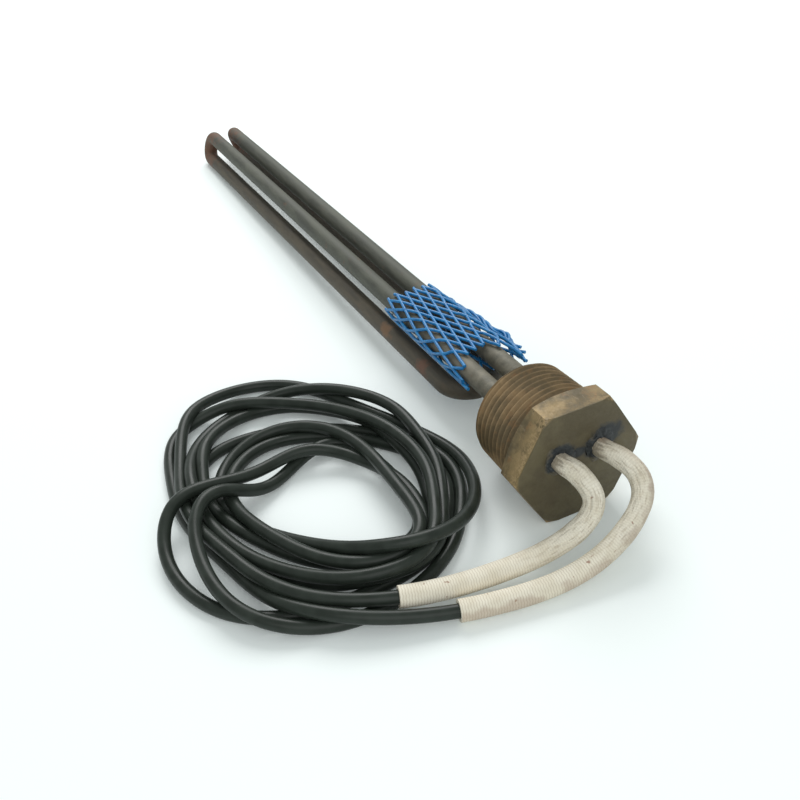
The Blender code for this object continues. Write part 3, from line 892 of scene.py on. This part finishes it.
def hexagon():
    """The hexagon head: chamfered on both sides, with two round potting pockets."""
    head = start(
        bpy.ops.mesh.primitive_cylinder_add,
        vertices=6,
        radius=HEX_ACROSS_FLATS / math.sqrt(3) * MM,
        depth=HEX_THICKNESS * MM,
        location=(0, HEX_THICKNESS / 2 * MM, 0),
        rotation=(math.pi / 2, math.pi / 6, 0),
    )
    margin = 1.0
    beyond = HEX_ACROSS_FLATS / math.sqrt(3) + margin
    slope = math.tan(math.radians(HEX_CHAMFER_ANGLE))
    front_rise = (beyond - HEX_CHAMFER_START) * slope
    rear_rise = (beyond - HEX_REAR_CHAMFER_START) * slope
    envelope = turned_body(
        [
            (0.0, -margin),
            (HEX_CHAMFER_START - margin / slope, -margin),
            (beyond, front_rise),
            (beyond, HEX_THICKNESS - rear_rise),
            (HEX_REAR_CHAMFER_START - margin / slope, HEX_THICKNESS + margin),
            (0.0, HEX_THICKNESS + margin),
        ],
        128,
    )
    modify(head, "BOOLEAN", operation="INTERSECT", object=envelope, solver="EXACT")
    discard(envelope)
    for side in (LEFT, RIGHT):
        pocket = start(
            bpy.ops.mesh.primitive_cylinder_add,
            vertices=48,
            radius=POCKET_DIAMETER / 2 * MM,
            depth=2 * POCKET_CUT_DEPTH * MM,
            location=(side * POCKET_SPREAD / 2 * MM, 0, POCKET_HEIGHT * MM),
            rotation=(math.pi / 2, 0, 0),
        )
        modify(head, "BOOLEAN", operation="DIFFERENCE", object=pocket, solver="EXACT")
        discard(pocket)
    modify(
        head,
        "BEVEL",
        width=HEX_BEVEL * MM,
        segments=3,
        limit_method="ANGLE",
        angle_limit=math.radians(28),
    )
    return head


def thread_height(y, turn):
    """Height between root, 0, and crest, 1, at y on the line that lies turn of the way round."""
    from_root = abs((y / THREAD_PITCH - turn + 0.5) % 1.0 - 0.5)
    height = min(1.0, from_root / THREAD_FLANK)
    return height**THREAD_CURVE


def threaded_shank():
    """The taper shank: a grid rolled round the axis, whose rows climb one pitch in a turn."""
    around, rows_per_pitch = 144, 14
    first, last = HEX_THICKNESS - THREAD_SUNK, PLUG_LENGTH
    base = math.floor(first / THREAD_PITCH) - 1
    pitches = math.ceil(last / THREAD_PITCH) - base
    shank = start(
        bpy.ops.mesh.primitive_grid_add,
        x_subdivisions=around,
        y_subdivisions=pitches * rows_per_pitch,
        size=1.0,
    )
    # This attribute carries the crest height, which paints a highlight along the thread's crests.
    wear_and_sheen = shank.data.attributes.new("wear_and_sheen", "FLOAT", "POINT")
    for vertex in shank.data.vertices:
        turn = vertex.co.x + 0.5
        y = (base + (vertex.co.y + 0.5) * pitches + turn) * THREAD_PITCH
        y = min(last, max(first, y))
        crest = THREAD_DIAMETER / 2 - (y - HEX_THICKNESS) * THREAD_TAPER / 2
        height = thread_height(y, turn)
        radius = crest - THREAD_DEPTH * (1 - height)
        radius = min(radius, crest - max(0.0, y - PLUG_LENGTH + THREAD_LEAD_IN))
        angle = 2 * math.pi * turn
        vertex.co = (
            radius * math.sin(angle) * MM,
            y * MM,
            radius * math.cos(angle) * MM,
        )
        # The crest height is stored to paint a highlight along the crests.
        wear_and_sheen.data[vertex.index].value = height
    edit_mesh(
        shank,
        (bpy.ops.mesh.remove_doubles, {"threshold": MERGE_DISTANCE}),
        (bpy.ops.mesh.dissolve_degenerate, {"threshold": MERGE_DISTANCE / 10}),
        (bpy.ops.mesh.fill_holes, {"sides": 0}),
        (bpy.ops.mesh.normals_make_consistent, {"inside": False}),
    )
    return shank


# A face made by the bevel has less than this area, in square metres. Those that face the
# rear are left out.

NARROW_AREA = 2.2e-6
REARWARDS = 0.9


def mark_worn_and_highlit_edges(head):
    """Raises the attribute for rubbed wear and painted edge highlight on the narrow faces that the bevel
    made, except at the rear.
    """
    wear_and_sheen = head.data.attributes.new("wear_and_sheen", "FLOAT", "POINT")
    narrow = set()
    for face in head.data.polygons:
        if face.area < NARROW_AREA and face.normal.y < REARWARDS:
            narrow.update(face.vertices)
    for index in narrow:
        spot = noise.noise(head.data.vertices[index].co * 400)
        wear_and_sheen.data[index].value = min(1.0, max(0.0, 0.55 + spot))


def build_plug(finish):
    head = hexagon()
    mark_worn_and_highlit_edges(head)
    shank = threaded_shank()
    join(head, shank)
    lay_down(head)
    dress(head, "plug", finish, "plug_brass", "screw_plug")


HEAP_RADIUS = 4.7


def build_potting(finish):
    """Dark compound smeared over each pocket's rim and up round its sleeve."""
    for side, word in ((LEFT, "left"), (RIGHT, "right")):
        heap = start(
            bpy.ops.mesh.primitive_uv_sphere_add,
            segments=64,
            ring_count=48,
            radius=HEAP_RADIUS * MM,
            location=(0, 0, 0),
        )
        for vertex in heap.data.vertices:
            place = vertex.co / (HEAP_RADIUS * MM)
            broad = noise.noise(place * 1.6 + Vector((side * 3.0, 0.7, 0)))
            lumps = noise.noise(place * 5.0 + Vector((side * 5.0, 2.1, 0)))
            upwards = max(0.0, place.x * side * 0.6 + place.z * 0.8)
            wide = HEAP_RADIUS * (1.0 + 0.25 * broad + 0.08 * lumps + 0.12 * upwards)
            deep = -place.y * (1.0 + 0.7 * broad + 0.6 * lumps) if place.y < 0 else 3.0
            vertex.co = (
                (side * POCKET_SPREAD / 2 + place.x * wide) * MM,
                place.y * deep * MM,
                (POCKET_HEIGHT + place.z * wide) * MM,
            )
        lay_down(heap)
        dress(heap, f"potting_heap_{word}", finish, "potting", f"potting_{word}", smooth=60)


# The element


SHEATH_RING_SPACING = 6.0


def half_turn(start_point, end_point, outwards, steps=24):
    """A half circle between two points, bulging along +Y where outwards is 1, or along -Y."""
    centre = (start_point + end_point) / 2
    spoke = start_point - centre
    heading = Vector((0, outwards, 0)) * spoke.length
    turns = [math.pi * step / steps for step in range(steps + 1)]
    return [centre + spoke * math.cos(turn) + heading * math.sin(turn) for turn in turns]


def upper_leg(side, y):
    return Vector((side * UPPER_LEG_SPREAD / 2, y, UPPER_LEG_HEIGHT))


def lower_leg(side, y):
    return Vector((side * LOWER_LEG_SPREAD / 2, y, -LOWER_LEG_DROP))


def element_line():
    """The middle line of the whole element, from inside the plug and back."""
    line = [upper_leg(LEFT, SHEATH_START)]
    line += half_turn(upper_leg(LEFT, TIP_BEND_DISTANCE), lower_leg(LEFT, TIP_BEND_DISTANCE), 1)
    line += half_turn(lower_leg(LEFT, RETURN_BEND_DISTANCE), lower_leg(RIGHT, RETURN_BEND_DISTANCE), -1)
    line += half_turn(lower_leg(RIGHT, TIP_BEND_DISTANCE), upper_leg(RIGHT, TIP_BEND_DISTANCE), 1)
    line.append(upper_leg(RIGHT, SHEATH_START))
    out = [line[0]]
    for before, after in zip(line, line[1:]):
        parts = max(1, int((after - before).length / SHEATH_RING_SPACING))
        out += [before.lerp(after, part / parts) for part in range(1, parts + 1)]
    return [tuple(point * MM) for point in out]


def build_element(finish):
    piece = tube_mesh("element", element_line(), SHEATH_DIAMETER / 2 * MM, 40)
    lay_down(piece)
    dress(piece, "element", finish, "sheath_steel", "element_sheath")


# The net


NET_START = 54.0
NET_LENGTH = 46.0
NET_ROWS = 9
NET_MESHES_AROUND = 14
NET_TWIST = 0.13
NET_SIDE_PULL = 8.0
NET_STRAND_STEPS = 60

# How the strands bunch together beside the legs. Angles are from the top, round each leg.

ROPE_ANGLE, BAND_ANGLE = 82, 68
BUNCH_WIDTH = 0.85
BUNCH_PULL = 0.82
FULL_PULL_FROM = 0.45
BAND_BULGE = 0.5

# How far out the rope bulges beside the right leg, at shares of the net's length.

NET_ROPE_PLACES = (0.0, 0.1, 0.29, 0.4, 0.54, 0.73, 0.82, 0.92, 1.0)
NET_ROPE_BULGES = (0.2, 0.5, 0.8, 1.4, 1.6, 1.6, 3.4, 3.0, 2.4)

# The loose strands in the rope: their common route in x and y, level with the upper legs, the
# cut end of each, and their twist, in points of the route.

ROPE_ROUTE = (
    (8.8, 99.0), (10.6, 95.0), (11.0, 87.0), (12.0, 81.7), (12.9, 74.9), (12.7, 66.5), (14.6, 62.0),
    (12.7, 55.0),
)
ROPE_ENDS = ((14.6, 52.0), (12.0, 49.0), (13.8, 50.2), (12.6, 52.8))
ROPE_SPACING = 0.8
ROPE_RADIUS = 0.75
POINTS_PER_TWIST = 26
POINTS_TO_FULL_RADIUS = 8
NET_GAP = 0.3
NET_CLEARANCE = SHEATH_DIAMETER / 2 + NET_GAP + NET_STRAND / 2


def drawn_together(angle, middle, share):
    """The angle moved towards the middle of a gathered bunch, and how near it lies to it."""
    nearness = math.exp(-(((angle - middle) / BUNCH_WIDTH) ** 2))
    pull = BUNCH_PULL * min(1.0, max(0.0, share) / FULL_PULL_FROM)
    return angle - pull * nearness * (angle - middle), nearness


def net_oval(fraction, share):
    """Place on the oval round both upper legs: x, and z above their axes.

    Its strands draw together into a loose rope beside the right leg and a band along the left.
    """
    straight = UPPER_LEG_SPREAD
    half = straight / 2
    girth = math.pi * NET_CLEARANCE
    run = (fraction % 1.0) * 2 * (straight + girth)
    if run < straight:
        return run - half, NET_CLEARANCE
    run -= straight
    if run < girth:
        angle, nearness = drawn_together(run / NET_CLEARANCE, math.radians(ROPE_ANGLE), share)
        bulge = float(np.interp(share, NET_ROPE_PLACES, NET_ROPE_BULGES))
        reach = NET_CLEARANCE + nearness * bulge
        return half + reach * math.sin(angle), reach * math.cos(angle)
    run -= girth
    if run < straight:
        return half - run, -NET_CLEARANCE
    run -= straight
    angle, nearness = drawn_together(run / NET_CLEARANCE, math.radians(BAND_ANGLE), share)
    reach = NET_CLEARANCE + BAND_BULGE * nearness
    return -half - reach * math.sin(angle), -reach * math.cos(angle)


def net_place(fraction, share):
    """A place on the net. share runs from 0 at its far end to 1 at the end by the plug."""
    x, z = net_oval(fraction + NET_TWIST * share, share)
    edge = UPPER_LEG_SPREAD / 2 + SHEATH_DIAMETER / 2
    sideways = min(1.0, abs(x) / edge) ** 4
    near = max(0.0, share) ** 3
    y = NET_START + NET_LENGTH * (1 - share) - NET_SIDE_PULL * sideways * near
    return Vector((x, y, z + UPPER_LEG_HEIGHT))


def rope_strands():
    """Loose strands that lie twisted together along the right leg, with parted ends."""
    strands = []
    for k, end in enumerate(ROPE_ENDS):
        route = [(x, y, UPPER_LEG_HEIGHT) for x, y in ROPE_ROUTE + (end,)]
        line = smooth_line(route, ROPE_SPACING)
        twisted = []
        for number, (x, y, z) in enumerate(line):
            turn = 2 * math.pi * (number / POINTS_PER_TWIST + k / len(ROPE_ENDS))
            wide = ROPE_RADIUS * min(1.0, number / POINTS_TO_FULL_RADIUS)
            twisted.append(Vector((x + wide * math.cos(turn), y, z + wide * math.sin(turn))))
        strands.append(twisted)
    return strands


def build_net(finish):
    """Two families of strands that meet where they cross, with ragged cut ends, and the rope."""
    strands = []
    for family in (LEFT, RIGHT):
        for k in range(NET_MESHES_AROUND):
            ragged = noise.noise(Vector((k * 1.7, family * 3.1, 0.5)))
            first = -0.02 + 0.05 * ragged
            last = 1.0 + 0.05 * noise.noise(Vector((k * 2.3, family * 1.9, 4.5)))
            line = []
            for step in range(NET_STRAND_STEPS + 1):
                share = first + (last - first) * step / NET_STRAND_STEPS
                fraction = (k + family * share * NET_ROWS / 2) / NET_MESHES_AROUND
                line.append(net_place(fraction, share))
            strands.append(line)
    strands += rope_strands()
    whole = None
    for number, line in enumerate(strands):
        piece = tube_mesh(
            f"strand_{number}", [tuple(point * MM) for point in line], NET_STRAND / 2 * MM, 8
        )
        if whole is None:
            whole = piece
        else:
            join(whole, piece)
    lay_down(whole)
    dress(whole, "net", finish, "net_plastic", "net_sleeve", smooth=60)


# The leads and their sleeves


SLEEVE_SIDES = 40


def sleeve_radii(line, side):
    """The sleeve's radii, ring by ring: drawn in at the pocket, and crumpled near the plug."""
    along = np.r_[0, np.cumsum(np.linalg.norm(np.diff(line, axis=0), axis=1))]
    rings = []
    for reach in along:
        drawn_in = 0.13 * math.exp(-((reach / 4.5) ** 2))
        crumpled = 0.09 / (1 + math.exp((reach - 34.0) / 4.0)) + 0.012
        ring = []
        for k in range(SLEEVE_SIDES):
            turn = 2 * math.pi * k / SLEEVE_SIDES
            place = Vector((math.cos(turn) * 1.5, math.sin(turn) * 1.5 + 7 * side, reach / 5.0))
            ring.append(SLEEVE_DIAMETER / 2 * (1 - drawn_in + crumpled * noise.noise(place)) * MM)
        rings.append(ring)
    return np.array(rings)


def build_leads(lead_look, sleeve_looks):
    """Both leads, each in its sleeve from the pocket to the sleeve's end."""
    settled = settle([loose_lead(LEFT), loose_lead(RIGHT)])
    for side, word, coarse in ((LEFT, "left", settled[0]), (RIGHT, "right", settled[1])):
        line = smooth_line(coarse, LEAD_SPACING)
        end_point = sleeve_end_point(side, coarse)
        sleeve_end = np.argmin(np.linalg.norm(line - end_point, axis=1))
        metres = line * MM
        lead = tube_mesh(f"lead_wire_{word}", metres, LEAD_DIAMETER / 2 * MM, 16)
        sleeve = tube_mesh(
            f"sleeve_{word}",
            metres[: sleeve_end + 1],
            sleeve_radii(line[: sleeve_end + 1], side),
            SLEEVE_SIDES,
            inner=(LEAD_DIAMETER / 2 + SLEEVE_PLAY) * MM,
        )
        dress(sleeve, f"sleeve_{word}", sleeve_looks[side], "fibreglass", f"fibreglass_sleeve_{word}")
        dress(lead, f"lead_wire_{word}", lead_look, "lead_insulation", f"lead_{word}", "lead_coil")


# The scene


def build_stage():
    """The pale floor, the studio's even light and its two lamps."""
    floor = start(bpy.ops.mesh.primitive_plane_add, size=6.0)
    floor.name = "floor"
    finish = Finish("pale_floor")
    rays = finish.node("ShaderNodeLightPath", output="Is Camera Ray")
    mirrored = finish.node("ShaderNodeLightPath", output="Is Glossy Ray")
    finish.shade(
        Base_Color=colour(0.835, 0.885, 0.88),
        Roughness=0.7,
        Emission_Color=finish.blend(
            rays.greater(mirrored), colour(0.0, 0.0, 0.0), colour(0.93, 1.0, 0.99)
        ),
        Emission_Strength=0.1,
    )
    floor.data.materials.append(finish.material)
    world = bpy.data.worlds.new("studio")
    bpy.context.scene.world = world
    world.use_nodes = True
    tree = world.node_tree
    tree.nodes["Background"].inputs["Color"].default_value = (0.95, 1.0, 0.985, 1.0)
    tree.nodes["Background"].inputs["Strength"].default_value = 0.56
    for name, place, aim, size, power in (
        ("window_light", (0.28, 0.72, 0.86), (-0.02, -0.03, 0.0), 0.8, 9.2),
        ("front_light", (-0.22, -0.9, 0.6), (-0.02, -0.1, 0.0), 0.9, 3.0),
    ):
        data = bpy.data.lights.new(name, "AREA")
        data.shape = "DISK"
        data.size = size
        data.energy = power
        lamp = add_object(name, data)
        lamp.location = place
        lamp.rotation_euler = (Vector(place) - Vector(aim)).to_track_quat("Z", "Y").to_euler()
    bpy.context.scene.view_settings.view_transform = "Standard"


# The record's slot, then the finish's name, two shades, grain, roughness and metallic share.

INNER_FINISHES = (
    ("magnesia", "magnesia_powder", (0.62, 0.6, 0.56), (0.8, 0.78, 0.74), 900, 0.9, 0.0),
    ("resistance_alloy", "resistance_wire", (0.25, 0.24, 0.23), (0.4, 0.38, 0.36), 700, 0.4, 0.9),
    ("pin_steel", "pin_steel", (0.4, 0.39, 0.37), (0.55, 0.53, 0.5), 600, 0.35, 0.9),
    ("end_seal", "end_seal", (0.3, 0.1, 0.06), (0.45, 0.17, 0.1), 800, 0.6, 0.0),
    ("braze_alloy", "braze_alloy", (0.3, 0.22, 0.11), (0.48, 0.37, 0.2), 700, 0.45, 0.7),
    ("tinned_copper", "tinned_copper", (0.5, 0.36, 0.26), (0.7, 0.55, 0.43), 700, 0.35, 0.9),
)


def dress_inner_parts():
    """Gives a finish to the nodes that no visible piece replaces, which keep their CAD shape."""
    looks = {slot: plain_finish(*look).material for slot, *look in INNER_FINISHES}
    for part in frame["record"]["subparts"]:
        if part["material_slot"] in looks:
            node = bpy.data.objects.get(part["node"])
            node.data.materials.clear()
            node.data.materials.append(looks[part["material_slot"]])


add_camera()
build_leads(
    lead_finish(),
    {LEFT: sleeve_finish("braided_glass", False), RIGHT: sleeve_finish("stained_braided_glass", True)},
)
build_plug(plug_finish())
build_potting(potting_finish())
build_element(sheath_finish())
build_net(net_finish())
dress_inner_parts()
build_stage()
